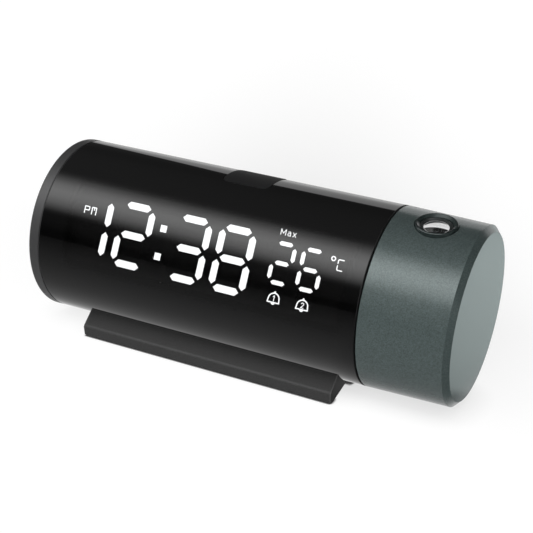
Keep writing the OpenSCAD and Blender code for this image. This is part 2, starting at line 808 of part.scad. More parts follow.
// One rail of the foot as (y, z) from the tube's axis, its front at -y
module rail_outline() {
  lip_top = foot_z + lip_h;
  b = foot_bevel;
  polygon([
    [-lip_y + b, foot_z], [-lip_y - b * lip_lean / lip_h, foot_z + b],
    [-lip_y - lip_lean, lip_top - b], [-lip_y - lip_lean + b, lip_top + b],
    [-body_r * cos(slope_angle), -body_r * sin(slope_angle)],
    [-body_r * 0.9 * cos(slope_angle), -body_r * 0.9 * sin(slope_angle)],
    [-body_r * 0.9 * cos(under_angle), -body_r * 0.9 * sin(under_angle)],
    [-body_r * cos(under_angle), -body_r * sin(under_angle)],
    [-lip_y + rail_flat, foot_z]
  ]);
}

module foot() color([0.13, 0.13, 0.13]) on_axis() difference() {
  union() {
    for (side = [0, 1]) mirror([0, side, 0])
      translate([x_foot, 0, 0]) rotate([90, 0, 90]) linear_extrude(foot_len) rail_outline();
    intersection() {
      rod_x(saddle_r + web_t, x_foot, x_foot + foot_len);
      box([x_foot - 1, -web_half, -axis_h], [x_foot + foot_len + 1, web_half, -body_r / 2]);
    }
  }
  rod_x(saddle_r, x_foot - 1, x_foot + foot_len + 1);
  at_foot_screws() cylinder(r = screw_hole_r, h = body_r * 2, $fn = 32);
  at_foot_screws() translate([0, 0, saddle_r + web_left]) cylinder(r = head_r + 0.3, h = body_r, $fn = 32);
  mirror([0, 0, 1]) linear_extrude(body_r * 2) door_outline(foot_window);
  for (side = [0, 1]) mirror([0, side, 0]) strip(fit / 2, 1);
}

// The seat of one rubber strip, or the strip itself
module strip(grow, extra) {
  y0 = -lip_y + foot_bevel + (rail_flat - foot_bevel - strip_w) / 2;
  box([x_foot + strip_inset - grow, y0 - grow, -axis_h - extra],
      [x_foot + foot_len - strip_inset + grow, y0 + strip_w + grow, foot_z + strip_deep]);
}

module foot_strips() color([0.05, 0.05, 0.05]) on_axis()
  for (side = [0, 1]) mirror([0, side, 0]) strip(0, 0);

module foot_screws() color(METAL) on_axis() at_foot_screws() translate([0, 0, saddle_r + web_left])
  screw(foot_screw_len);

// ---- Hub between the body and the head -------------------------------------------------------------------

module hub_disc() color([0.05, 0.05, 0.05]) on_axis() difference() {
  union() {
    rod_x(tube_ri - fit, x_chassis_end, x_hub);
    rod_x(spigot_r, x_hub - 1, x_spigot_end);
  }
  rod_x(spigot_bore, x_chassis_end - 1, x_spigot_end + 1);
  tube_x(spigot_r + 1, spigot_r - clip_depth, x_clip - run_fit, x_clip + clip_t + run_fit);
  arc_x(stop_r, stop_r + stop_w, x_hub - stop_deep, x_hub + 1,
        stop_angle - turn_front - tab_half, stop_angle + turn_back + tab_half);
  for (a = hub_screw_angles) facing(a) translate([0, 0, hub_screw_at]) {
    rod_x(screw_hole_r, x_chassis_end - 1, x_hub + 1);
    rod_x(head_r + 0.2, x_hub - head_h - 0.1, x_hub + 1);
  }
}

module hub_screws() color(METAL) on_axis()
  for (a = hub_screw_angles) facing(a) translate([x_hub - head_h - 0.1, 0, hub_screw_at])
    rotate([0, 90, 0]) screw(rib_t + 1.2);

module friction_washer() color(METAL) on_axis()
  tube_x(spigot_r + washer_lip, spigot_r + run_fit, x_washer, x_washer + washer_t);

module hub_clip() color(METAL) on_axis()
  arc_x(spigot_r - clip_depth + run_fit, spigot_r + clip_lip, x_clip, x_clip + clip_t,
        -90 + clip_mouth / 2, 270 - clip_mouth / 2);

// The lead rises from its header on the main board and runs out along the axis
module projector_lead() color([0.1, 0.1, 0.1]) on_axis() {
  translate([x_lead, 0, board_top + header_h]) cylinder(r = lead_r, h = -board_top - header_h, $fn = 24);
  translate([x_lead, 0, 0]) sphere(lead_r, $fn = 24);
  rod_x(lead_r, x_lead, lens_x - optics_r - gap);
}

// ---- Projector head ------------------------------------------------------------------------------------

module in_lens() { on_axis() translate([lens_x, 0, 0]) facing(lens_angle) children(); }

module at_lugs() { for (a = lug_angles) facing(a) translate([0, 0, lug_at]) children(); }

module projector_shell() color(HEAD_GREEN) on_axis() difference() {
  union() {
    spin_x([
      [shell_ri, x_head], [body_r - seam_bevel, x_head], [body_r, x_head + seam_bevel],
      [tip_r, x_right - chamfer_len], [face_r, x_right], [face_r - 0.05, x_right],
      [face_r - 0.05, x_disc], [face_r - ledge, x_disc], [face_r - ledge, x_disc - ledge_t],
      [shell_ri, x_disc - ledge_t - ledge]
    ]);
    at_lugs() rod_x(lug_r, x_boss, x_boss + lug_len);
  }
  at_lugs() rod_x(screw_hole_r, x_boss - 1, x_boss + lug_len + 1);
  translate([lens_x, 0, 0]) facing(lens_angle) cylinder(r = lens_hole_r, h = body_r + 1);
}

module end_disc() color(HEAD_GREEN) on_axis() rod_x(face_r - 0.1, x_disc, x_right);

module bearing_plate() color([0.06, 0.06, 0.06]) on_axis() difference() {
  union() {
    rod_x(shell_ri - fit, x_plate, x_boss);
    rod_x(spigot_r + 3, x_plate, x_boss_end);
    facing(stop_angle) box([x_hub - stop_deep + 0.3, -tab_w / 2, stop_r + 0.3],
                           [x_plate + eps, tab_w / 2, stop_r + stop_w - 0.3]);
    for (side = [-1, 1]) facing(lens_angle) translate([0, side * ear_y, ear_s])
      rod_x(ear_post_r, x_boss - eps, x_ear);
  }
  rod_x(spigot_r + run_fit, x_hub, x_boss_end + 1);
  at_lugs() rod_x(screw_r, x_plate + 0.6, x_boss + 1);
  for (side = [-1, 1]) facing(lens_angle) translate([0, side * ear_y, ear_s]) rod_x(screw_r, x_boss, x_ear + 1);
}

module shell_screws() color(METAL) on_axis() at_lugs() translate([x_boss + lug_len, 0, 0]) rotate([0, 90, 0])
  screw(lug_len + plate_t - 0.8);

module optics_tube() color([0.09, 0.09, 0.09]) in_lens() difference() {
  union() {
    translate([0, 0, optics_bottom]) cylinder(r = optics_r, h = optics_top - optics_bottom);
    box([x_ear - lens_x, -ear_y - boss_r, ear_s - ear_h / 2],
        [x_ear - lens_x + ear_t, ear_y + boss_r, ear_s + ear_h / 2]);
  }
  translate([0, 0, optics_bottom - 1]) cylinder(r = chamber_r, h = optics_top + 20);
  translate([0, 0, cell_bottom - focus_travel]) cylinder(r = cell_r + run_fit, h = optics_top);
  box([-slide_w / 2 - fit, -slide_l / 2 - fit, slide_s - fit],
      [slide_w / 2 + fit, slide_l / 2 + fit, slide_s + slide_t + fit]);
  for (side = [-1, 1]) translate([0, side * ear_y, ear_s]) rod_x(screw_hole_r, -optics_r - 1, 0);
}

module optics_screws() color(METAL) on_axis() for (side = [-1, 1]) facing(lens_angle)
  translate([x_ear + ear_t, side * ear_y, ear_s]) rotate([0, 90, 0]) screw(ear_screw_len);

// Revolves an outline of (radius, height) round the lens axis
module spin_lens(points) { in_lens() rotate_extrude() polygon(points); }

module focus_ring() color(HEAD_GREEN * 0.7) spin_lens(concat([
  [optics_r + ring_fit, ring_bottom], [ring_flange_r, ring_bottom], [ring_flange_r, ring_bottom + ring_flange_t],
  [focus_r, ring_bottom + ring_flange_t]
], [
  for (a = [0, 30, 60, 90]) [focus_r - ring_round * (1 - cos(a)), focus_top - ring_round * (1 - sin(a))]
], [
  [focus_r - ring_rim, focus_top], [ring_in_r, focus_top - ring_slope], [ring_in_r, optics_top + gap],
  [optics_r + ring_fit, optics_top + gap]
]));

module lens_cell() color([0.08, 0.09, 0.09]) spin_lens([
  [lens_r - cell_lip, cell_bottom], [cell_r, cell_bottom], [cell_r, cell_top], [cell_r - cell_step, cell_top],
  [cell_r - 1.5 * cell_step, cell_top - cell_step], [cell_r - 2.5 * cell_step, cell_top - cell_step],
  [cell_r - 3 * cell_step, cell_top - 2 * cell_step], [lens_r + run_fit, cell_top - 2 * cell_step],
  [lens_r + run_fit, lens_seat - lens_edge], [lens_r - cell_lip, lens_seat - lens_edge]
]);

// A shallow dome of a given radius and height on a plane, as a slice of a sphere
module dome(r, h) {
  big = (r * r + h * h) / (2 * h);
  intersection() {
    translate([0, 0, h - big]) sphere(big);
    cylinder(r = r, h = h + 1);
  }
}

module projection_lens() color([0.7, 0.85, 0.9]) in_lens() {
  translate([0, 0, lens_seat - lens_edge]) cylinder(r = lens_r, h = lens_edge + eps);
  translate([0, 0, lens_seat]) dome(lens_r, dome_h);
}

module image_slide() color([0.3, 0.35, 0.4]) in_lens()
  box([-slide_w / 2, -slide_l / 2, slide_s], [slide_w / 2, slide_l / 2, slide_s + slide_t]);

module condenser_lens() color([0.8, 0.9, 0.95]) in_lens() translate([0, 0, condenser_s]) {
  cylinder(r = chamber_r - run_fit, h = condenser_t);
  translate([0, 0, condenser_t - eps]) dome(chamber_r - run_fit, condenser_dome);
}

module led_board() color(BOARD_GREEN) in_lens() {
  box([-led_board_w / 2, -led_board_l / 2, optics_bottom - board_t],
      [led_board_w / 2, led_board_l / 2, optics_bottom]);
  translate([0, 0, optics_bottom - eps]) cylinder(r = led_r, h = led_base, $fn = 32);
  translate([0, 0, optics_bottom + led_base - 2 * eps]) dome(led_r, led_r * 0.6);
}

display_tube();
left_end_cap();
chassis();
display_frame();
display_segments();
display_board();
main_board();
snooze_key();
snooze_switch();
rear_panel();
key(0);  // key_set
key(1);  // key_up
key(2);  // key_down
key(3);  // key_alarm_1
key(4);  // key_alarm_2
key(5);  // key_projector
key_board();
usb_outlet();
power_inlet();
speaker();
cell_holder();
backup_cell();
cell_door();
door_screw();
foot();
foot_strips();
foot_screws();
hub_disc();
hub_screws();
friction_washer();
hub_clip();
projector_lead();
projector_shell();
end_disc();
bearing_plate();
shell_screws();
focus_ring();
lens_cell();
projection_lens();
optics_tube();
optics_screws();
image_slide();
condenser_lens();
led_board();
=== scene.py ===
"""Looks of the projection alarm clock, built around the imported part. Metres, in the part's own frame."""
import json
import math

import bmesh
import bpy
from mathutils import Matrix, Vector
from mathutils.geometry import delaunay_2d_cdt


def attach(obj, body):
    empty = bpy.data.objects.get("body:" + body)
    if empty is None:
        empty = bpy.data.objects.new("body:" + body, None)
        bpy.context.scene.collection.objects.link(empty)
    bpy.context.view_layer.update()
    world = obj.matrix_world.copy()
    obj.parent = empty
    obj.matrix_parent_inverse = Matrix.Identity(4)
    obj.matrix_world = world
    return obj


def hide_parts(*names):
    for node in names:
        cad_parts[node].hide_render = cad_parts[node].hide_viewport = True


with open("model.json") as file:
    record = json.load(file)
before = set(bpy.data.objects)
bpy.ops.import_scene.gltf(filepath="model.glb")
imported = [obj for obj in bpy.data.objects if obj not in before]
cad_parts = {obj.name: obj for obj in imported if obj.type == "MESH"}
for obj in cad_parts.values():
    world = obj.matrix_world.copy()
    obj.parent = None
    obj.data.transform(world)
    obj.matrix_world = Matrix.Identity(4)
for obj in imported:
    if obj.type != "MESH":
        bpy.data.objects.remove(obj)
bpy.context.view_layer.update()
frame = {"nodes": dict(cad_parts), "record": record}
MM = 0.001
WHITE = (1.0, 1.0, 1.0)
AXIS_H = 36.65 * MM          # of the tube's axis over the table
TUBE_X = -82.3 * MM          # of the tube's left end
scene = bpy.context.scene


# ---- node trees ------------------------------------------------------------------------------------------------------

class Tree:
    """A node tree that is written as expressions."""

    def __init__(self, owner):
        owner.use_nodes = True
        self.tree = owner.node_tree
        self.tree.nodes.clear()

    def put(self, kind, settings=None, **inputs):
        node = self.tree.nodes.new("ShaderNode" + kind)
        for name, value in (settings or {}).items():
            setattr(node, name, value)
        for name, value in inputs.items():
            self.feed(node.inputs[name.replace("_", " ")], value)
        return node

    def feed(self, socket, value):
        if isinstance(value, bpy.types.NodeSocket):
            self.tree.links.new(value, socket)
        elif isinstance(value, bpy.types.Node):
            self.tree.links.new(value.outputs[0], socket)
        elif isinstance(value, (tuple, list)) and len(value) == 3 and len(socket.default_value) == 4:
            socket.default_value = (*value, 1)
        else:
            socket.default_value = value

    def math(self, operation, *values, clamp=False):
        node = self.tree.nodes.new("ShaderNodeMath")
        node.operation, node.use_clamp = operation, clamp
        for i, value in enumerate(values):
            self.feed(node.inputs[i], value)
        return node.outputs[0]

    def chain(self, operation, first, *others):
        for value in others:
            first = self.math(operation, first, value)
        return first

    def add(self, *values):
        return self.chain("ADD", *values)

    def sub(self, *values):
        return self.chain("SUBTRACT", *values)

    def mul(self, *values):
        return self.chain("MULTIPLY", *values)

    def rest(self, share):
        return self.sub(1.0, share)

    def length(self, a, b):
        return self.math("SQRT", self.add(self.mul(a, a), self.mul(b, b)))

    def axes(self, vector):
        """The three parts of a vector."""
        return self.put("SeparateXYZ", Vector=vector).outputs

    def place(self):
        """Where a point is on its piece at rest."""
        return self.put("TexCoord").outputs["Object"]

    def ramp(self, value, low, high, to_low=0.0, to_high=1.0, smooth=False):
        kind = "SMOOTHSTEP" if smooth else "LINEAR"
        return self.put("MapRange", {"interpolation_type": kind}, Value=value, From_Min=low, From_Max=high,
                        To_Min=to_low, To_Max=to_high).outputs[0]

    def curve(self, value, points, low, high):
        """Straight lines through the points, as a colour ramp over low to high."""
        top = max(v for _, v in points) or 1
        at = self.math("DIVIDE", self.sub(value, low), high - low, clamp=True)
        node = self.put("ValToRGB", Fac=at)
        stops = node.color_ramp.elements
        stops.remove(stops[1])
        for i, (p, v) in enumerate(sorted(points)):
            stop = stops[0] if i == 0 else stops.new((p - low) / (high - low))
            stop.position = (p - low) / (high - low)
            stop.color = (v / top, v / top, v / top, 1)
        return self.mul(node.outputs[0], top)

    def mix(self, share, a, b):
        node = self.tree.nodes.new("ShaderNodeMixShader")
        for i, value in enumerate((share, a, b)):
            self.feed(node.inputs[i], value)
        return node

    def blend(self, share, a, b):
        node = self.tree.nodes.new("ShaderNodeMix")
        node.data_type = "RGBA"
        for i, value in ((0, share), (6, a), (7, b)):
            self.feed(node.inputs[i], value)
        return node.outputs[2]

    def end(self, shader, kind="OutputMaterial"):
        self.feed(self.put(kind).inputs[0], shader)


def made(name):
    m = bpy.data.materials.new(name)
    return m, Tree(m)


def noise(t, scale, detail=2.0, rough=0.5):
    """Noise of about this many waves a metre, fixed to the piece."""
    return t.put("TexNoise", Vector=t.place(), Scale=scale, Detail=detail, Roughness=rough).outputs[0]


def spread(t, fine, low, high):
    """From low to high with the noise."""
    return t.ramp(fine, 0.3, 0.7, low, high)


def shade(t, colour, amount, fine):
    """The colour, up to amount lighter or darker by the noise."""
    dark, light = ([c * (1 + side * amount) for c in colour] for side in (-1, 1))
    return t.blend(spread(t, fine, 0.0, 1.0), dark, light)


def bumps(t, fine, depth, strength=1.0):
    """The noise as a relief of this depth in mm."""
    return t.put("Bump", Strength=strength, Distance=depth * MM, Height=fine).outputs[0]


# ---- materials -------------------------------------------------------------------------------------------------------

BODY_R = 35 * MM
INNER_R = 33 * MM
END_X = (52.1 * MM, 52.2 * MM)      # where the tube's polish gives way to its dull right end
WINDOW_X = (-70.6 * MM, 46.8 * MM)
WINDOW_A = (-11.0, 49.0)            # degrees up from the front
WINDOW_EDGE = (1.5 * MM, 0.5)       # how soft the window's edges are, in x and in degrees
TINT = 0.42                         # what the smoked window lets through
BLACK_TUBE = (0.0012, 0.0012, 0.0013)
# Painted shade: the dark colour that a piece takes inside the tube, where shade falls
INSIDE_SHADE = (0.004, 0.004, 0.004)      # of what stands inside the tube
FOOT_X = (-9.55 * MM, 53.85 * MM)   # the foot's middle and half its length
# The foot's tone by height in mm, with painted light: lightest at the lip, a painted highlight along the lip's top
# edge, painted shade darkening it towards the tube, a thin painted highlight near its top and painted shade where it
# meets the tube
FOOT_PAINTED_TONE = [(0, 0.042), (4.5, 0.042), (4.6, 0.058), (5.0, 0.058), (5.3, 0.038), (9.9, 0.0116), (10.1, 0.02),
             (10.3, 0.008), (11, 0.008)]
# Painted shade: the foot's two ends are darker than its other faces
FOOT_END_SHADE = 0.014                    # tone of the foot's two ends
LENS_A = math.radians(76.1)         # of the lens axis, up from the front, at rest


def solid(name, colour, rough, grain=900.0, amount=0.08, bump=0.02, metal=0.0, level=0.5, inside=False):
    """Moulded plastic, rubber or metal: grain in waves a metre, bump in mm; with painted shade inside the tube if
    asked.
    """
    m, t = made(name)
    fine = noise(t, grain, 3.0)
    broad = noise(t, 35.0, 2.0)
    base = shade(t, colour, amount, t.add(t.mul(fine, 0.7), t.mul(broad, 0.3)))
    worn = spread(t, fine, rough - 0.04, rough + 0.04)
    if inside:
        # Painted shade: darker, and duller, where the piece stands inside the tube
        within = t.math("GREATER_THAN", t.axes(t.place())[0], TUBE_X)
        base = t.blend(within, base, INSIDE_SHADE)
        worn = t.add(worn, t.mul(within, 0.5))
    t.end(t.put("BsdfPrincipled", Base_Color=base, Roughness=worn, Normal=bumps(t, fine, bump), Metallic=metal,
                Specular_IOR_Level=level))
    return m


def polar(t):
    """Place along the tube, angle up from the front in degrees, and distance from the tube's axis."""
    p = t.axes(t.place())
    y = t.mul(p[1], -1.0)
    z = t.sub(p[2], AXIS_H)
    return p[0], t.math("DEGREES", t.math("ARCTAN2", z, y)), t.length(y, z)


def between(t, value, limits, edge):
    """1 between the limits, and 0 outside them."""
    low, high = limits
    return t.mul(t.ramp(value, low - edge, low + edge), t.ramp(value, high - edge, high + edge, 1.0, 0.0))


def smoked_gloss():
    """Polished tube: near-black, and see-through over the display."""
    m, t = made("smoked_gloss")
    x, angle, r = polar(t)
    window = t.mul(between(t, x, WINDOW_X, WINDOW_EDGE[0]), between(t, angle, WINDOW_A, WINDOW_EDGE[1]))
    swirl = noise(t, 60.0)
    rough = t.add(spread(t, swirl, 0.045, 0.06), t.ramp(x, *END_X, 0.0, 0.6))
    outside = t.math("GREATER_THAN", r, (BODY_R + INNER_R) / 2)
    glass = t.mix(t.mul(t.put("Fresnel", IOR=1.5), outside),
                  t.put("BsdfTransparent", Color=t.blend(outside, WHITE, (TINT, TINT, TINT))),
                  t.put("BsdfGlossy", Color=WHITE, Roughness=rough))
    black = t.put("BsdfPrincipled", Base_Color=shade(t, BLACK_TUBE, 0.04, swirl), Roughness=rough, IOR=1.5)
    t.end(t.mix(window, black, glass))
    return m


def lit_white():
    """Diffusers over the lamps of the display, bright enough to stay white through the smoked window."""
    m, t = made("lit_white")
    glow = shade(t, (0.97, 0.985, 1.0), 0.015, noise(t, 1500.0))
    t.end(t.put("BsdfPrincipled", Base_Color=(0.8, 0.8, 0.8), Roughness=0.6, Emission_Color=glow,
                Emission_Strength=2.45))
    return m


def head_paint(name="head_paint", colour=(0.076, 0.0995, 0.0975), coat=0.14):
    """Satin metallic paint with fine flakes, under a coat of this roughness."""
    m, t = made(name)
    flakes = t.put("TexVoronoi", {"feature": "F1"}, Vector=t.place(), Scale=3200.0)
    tone = t.put("SeparateColor", Color=flakes.outputs["Color"]).outputs[0]
    cloud = noise(t, 700.0, 3.0, 0.6)
    broad = noise(t, 25.0)
    grain = t.add(t.mul(tone, 0.55), t.mul(cloud, 0.45))
    base = t.blend(t.ramp(grain, 0.2, 0.8), [c * 0.80 for c in colour], [c * 1.24 for c in colour])
    rough = t.ramp(t.add(t.mul(tone, 0.6), t.mul(broad, 0.4)), 0.2, 0.8, 0.19, 0.26)
    t.end(t.put("BsdfPrincipled", Base_Color=base, Normal=bumps(t, cloud, 0.02, 0.35), Metallic=0.2,
                Specular_Tint=(0.98, 1.0, 1.0), Specular_IOR_Level=0.48, Roughness=rough, IOR=1.5,
                Coat_Weight=0.2, Coat_Roughness=coat, Coat_IOR=1.5))
    return m


def lens_glass(name, colour=(0.9, 0.95, 0.96), shine=0.15, lean=0.0):
    """Coated lens: clear, with a reflection that leans towards the rear and the top."""
    m, t = made(name)
    fine = noise(t, 90.0)
    leant = t.put("VectorMath", {"operation": "ADD"})
    t.feed(leant.inputs[0], t.put("NewGeometry").outputs["Normal"])
    t.feed(leant.inputs[1], (0.0, lean * math.sin(LENS_A), lean * math.cos(LENS_A)))
    t.end(t.mix(shine, t.put("BsdfTransparent", Color=shade(t, colour, 0.01, fine)),
                t.put("BsdfGlossy", Color=WHITE, Roughness=spread(t, fine, 0.02, 0.035), Normal=leant)))
    return m


def foot_plastic():
    """Dark moulded foot, with painted shade under the tube, painted highlights along its edges and painted shade on its
    ends in its tone.
    """
    m, t = made("foot_grey")
    x, _, z = t.axes(t.place())
    facing = t.axes(t.put("NewGeometry").outputs["Normal"])[0]
    end = t.math("GREATER_THAN", t.math("ABSOLUTE", facing), 0.7)
    out = t.math("ABSOLUTE", t.sub(x, FOOT_X[0]))
    # Painted shade and painted highlights by height, from the foot's tone table
    tone = t.curve(z, [(height * MM, v) for height, v in FOOT_PAINTED_TONE], 0, FOOT_PAINTED_TONE[-1][0] * MM)
    # Painted highlight: a little lighter within half a millimetre of the foot's two ends
    tone = t.add(tone, t.ramp(out, FOOT_X[1] - 0.5 * MM, FOOT_X[1] - 0.2 * MM, 0.0, 0.03))
    # Painted shade: faces turned along the tube, the foot's two ends, take the darker end tone
    tone = t.add(t.mul(tone, t.rest(end)), t.mul(end, FOOT_END_SHADE))
    fine = noise(t, 2200.0, 3.0)
    tone = t.mul(tone, spread(t, fine, 0.86, 1.14))
    t.end(t.put("BsdfPrincipled", Base_Color=t.put("CombineColor", Red=tone, Green=tone, Blue=tone), Roughness=0.5,
                Normal=bumps(t, fine, 0.012), Specular_IOR_Level=0.12))
    return m


FINISH = {
    "smoked_shell": smoked_gloss(),
    "end_grey": solid("end_grey", (0.041, 0.041, 0.042), 0.42, 1400.0, 0.06, 0.006, inside=True),
    "inner_black": solid("inner_black", (0.006, 0.006, 0.006), 0.8, 1500.0, 0.1, 0.01, level=0.1),
    "display_white": lit_white(),
    "board_green": solid("board_green", (0.02, 0.12, 0.06), 0.45, 500.0, 0.15, 0.01),
    "soft_black": solid("soft_black", (0.0085, 0.0085, 0.0088), 0.65, 2000.0, 0.4, 0.05, level=0.2),
    "switch_black": solid("switch_black", (0.02, 0.02, 0.02), 0.5),
    "panel_black": solid("panel_black", (0.012, 0.012, 0.012), 0.5, 1800.0, 0.12, 0.02, level=0.4),
    "key_grey": solid("key_grey", (0.05, 0.05, 0.053), 0.45, 1500.0, 0.08, 0.01),
    "socket_steel": solid("socket_steel", (0.55, 0.55, 0.53), 0.3, 500.0, 0.08, 0.004, metal=1.0),
    "speaker_black": solid("speaker_black", (0.02, 0.02, 0.021), 0.7, 800.0, 0.2, 0.03),
    "cell_steel": solid("cell_steel", (0.6, 0.6, 0.59), 0.22, 700.0, 0.05, 0.003, metal=1.0),
    "screw_steel": solid("screw_steel", (0.42, 0.42, 0.41), 0.35, 900.0, 0.1, 0.005, metal=1.0),
    "spring_steel": solid("spring_steel", (0.45, 0.45, 0.44), 0.3, 900.0, 0.08, 0.004, metal=1.0),
    "foot_grey": foot_plastic(),
    "strip_rubber": solid("strip_rubber", (0.012, 0.012, 0.012), 0.8, 1500.0, 0.15, 0.03, level=0.2),
    "lead_black": solid("lead_black", (0.012, 0.012, 0.012), 0.6, 1200.0),
    "head_green": head_paint(),
    "ring_green": head_paint("ring_paint", (0.022, 0.031, 0.030), 0.25),
    "cell_black": solid("cell_black", (0.016, 0.019, 0.019), 0.35, 1500.0, 0.08, 0.004),
    "lens_glass": lens_glass("lens_glass", shine=0.92, lean=0.15),
    "slide_glass": lens_glass("slide_glass", (0.35, 0.4, 0.45)),
}

# Hidden from glossy rays, so that the polished tube and head don't mirror them
UNMIRRORED = ("foot", "foot_strips", "foot_screws", "cell_door", "door_screw", "focus_ring", "lens_cell")


def dress_nodes():
    slot_of = {part["node"]: part["material_slot"] for part in frame["record"]["subparts"]}
    for name, node in frame["nodes"].items():
        node.data.materials.clear()
        node.data.materials.append(FINISH[slot_of[name]])
    for name in UNMIRRORED:
        frame["nodes"][name].visible_glossy = False


# ---- display, in mm: x along the tube, s up its face and d out from the tube's axis ----------------------------------

FACE_D = 28.0                # of the display's face
CELL_DEPTH = 3.5
FACE_TURN = math.radians(19)
FACE_OUT = Vector((0, -math.cos(FACE_TURN), math.sin(FACE_TURN)))
FACE_UP = Vector((0, math.sin(FACE_TURN), math.cos(FACE_TURN)))
DARK_SINK = 0.04             # of the unlit cells under the face
SIGN_RISE = 0.02             # of a printed sign over its dark window
SIGN_DEPTH = 0.3
CELL_GAP = 0.08              # between a bar and its cell, both sides together
TIP_ROOM = 2.12              # what a bar's length leaves free of the digit's spacing
PEN, THIN = 0.42, 0.27       # widths of the signs' lines
BARS = "abcdefg"
# Of each size of digit: its middle up the face, half its height, its width and the width of its bars
LARGE = (0, 11.45, 12.7, 2.8)
SMALL = (2.95, 7.33, 7.7, 1.65)
# Of each digit: its size, its middle along the tube, its lit bars and the bars that it lacks
DIGITS = [(LARGE, -63.25, "bc", "f"), (LARGE, -44.75, "abged", ""), (LARGE, -20.05, "abgcd", ""),
          (LARGE, -1.55, BARS, ""), (SMALL, 18.15, "abged", ""), (SMALL, 29.55, "afgecd", "")]
COLON_X, COLON_S, COLON_SIDE = -32.45, 5.45, 2.67
# Of each dark window behind signs: its middle along and up the face, its width and height
WINDOWS = [(18.15, -10, 6.4, 6), (29.65, -10, 6.4, 6), (-65.7, 6.1, 7, 4), (18.2, 14.4, 8, 2.4),
           (39.05, 7.2, 6.6, 5.4)]
BELLS_X = (18.15, 29.65)


def on_face(x, s, d):
    return Vector((x * MM, 0, AXIS_H)) + (FACE_UP * s + FACE_OUT * d) * MM


def slab(name, shapes, d0, d1):
    """The flat shapes, joined into one and as thick as from d0 to d1."""
    points, faces = [], []
    for shape in shapes:
        faces.append(list(range(len(points), len(points) + len(shape))))
        points += [Vector(p) for p in shape]
    flat, _, triangles, _, _, covered = delaunay_2d_cdt(points, [], faces, 1, 1e-4)
    bm = bmesh.new()
    front = [bm.verts.new(on_face(p.x, p.y, d1)) for p in flat]
    for triangle, of_shapes in zip(triangles, covered):
        if of_shapes:
            bm.faces.new([front[i] for i in triangle])
    bmesh.ops.delete(bm, geom=[v for v in bm.verts if not v.link_faces], context="VERTS")
    bmesh.ops.dissolve_limit(bm, angle_limit=0.01, verts=bm.verts[:], edges=bm.edges[:])
    drawn_out = bmesh.ops.extrude_face_region(bm, geom=bm.faces[:])["geom"]
    moved = [v for v in drawn_out if isinstance(v, bmesh.types.BMVert)]
    bmesh.ops.translate(bm, vec=FACE_OUT * (d0 - d1) * MM, verts=moved)
    bmesh.ops.recalc_face_normals(bm, faces=bm.faces[:])
    mesh = bpy.data.meshes.new(name)
    bm.to_mesh(mesh)
    bm.free()
    piece = bpy.data.objects.new(name, mesh)
    scene.collection.objects.link(piece)
    return piece


def bar_shape(x, s, length, width, upright):
    """A bar with pointed ends."""
    tip, side = length / 2, width / 2
    flat = [(-tip, 0), (side - tip, -side), (tip - side, -side), (tip, 0), (tip - side, side), (side - tip, side)]
    return [(x - b, s + a) for a, b in flat] if upright else [(x + a, s + b) for a, b in flat]


def digit_shapes(x, size, bars):
    s, half, width, bar = size
    across, tall = width - TIP_ROOM, half - TIP_ROOM
    places = {"a": (0, half, 0), "b": (width / 2, half / 2, 1), "c": (width / 2, -half / 2, 1), "d": (0, -half, 0),
              "e": (-width / 2, -half / 2, 1), "f": (-width / 2, half / 2, 1), "g": (0, 0, 0)}
    shapes = []
    for name in bars:
        dx, ds, upright = places[name]
        shapes.append(bar_shape(x + dx, s + ds, tall if upright else across, bar - CELL_GAP, upright))
    return shapes


def box_shape(x, s, wide, high):
    w, h = wide / 2, high / 2
    return [(x - w, s - h), (x + w, s - h), (x + w, s + h), (x - w, s + h)]


def arc_points(x, y, r, a0, a1, n):
    turns = [math.radians(a0 + (a1 - a0) * k / n) for k in range(n + 1)]
    return [(x + r * math.cos(a), y + r * math.sin(a)) for a in turns]


def stroke(points, width, closed=False):
    """A pen line through the points, as flat shapes that overlap at its rounded corners."""
    shapes, r = [], width / 2
    for (x0, y0), (x1, y1) in zip(points, points[1:] + points[:1] if closed else points[1:]):
        a = math.atan2(y1 - y0, x1 - x0)
        ox, oy = -math.sin(a) * r, math.cos(a) * r
        shapes.append([(x0 - ox, y0 - oy), (x1 - ox, y1 - oy), (x1 + ox, y1 + oy), (x0 + ox, y0 + oy)])
    for x, y in points:
        shapes.append([(x + r * math.cos(k * math.pi / 8), y + r * math.sin(k * math.pi / 8)) for k in range(16)])
    return shapes


def bell_shapes(x):
    """A bell's outline with its clapper and knob."""
    base, top = -11.65, -8.2
    dome = arc_points(x, -10.35, 2.15, 172, 8, 18)
    outline = [(x - 2.33, base), *dome, (x + 2.33, base)]
    clapper = arc_points(x, base - 0.1, 0.78, 180, 360, 12)
    knob = [(x - 0.5, top + 0.1), (x + 0.5, top + 0.1), (x + 0.16, top + 0.75), (x - 0.16, top + 0.75)]
    return [*stroke(outline, 0.45, True), clapper, knob]


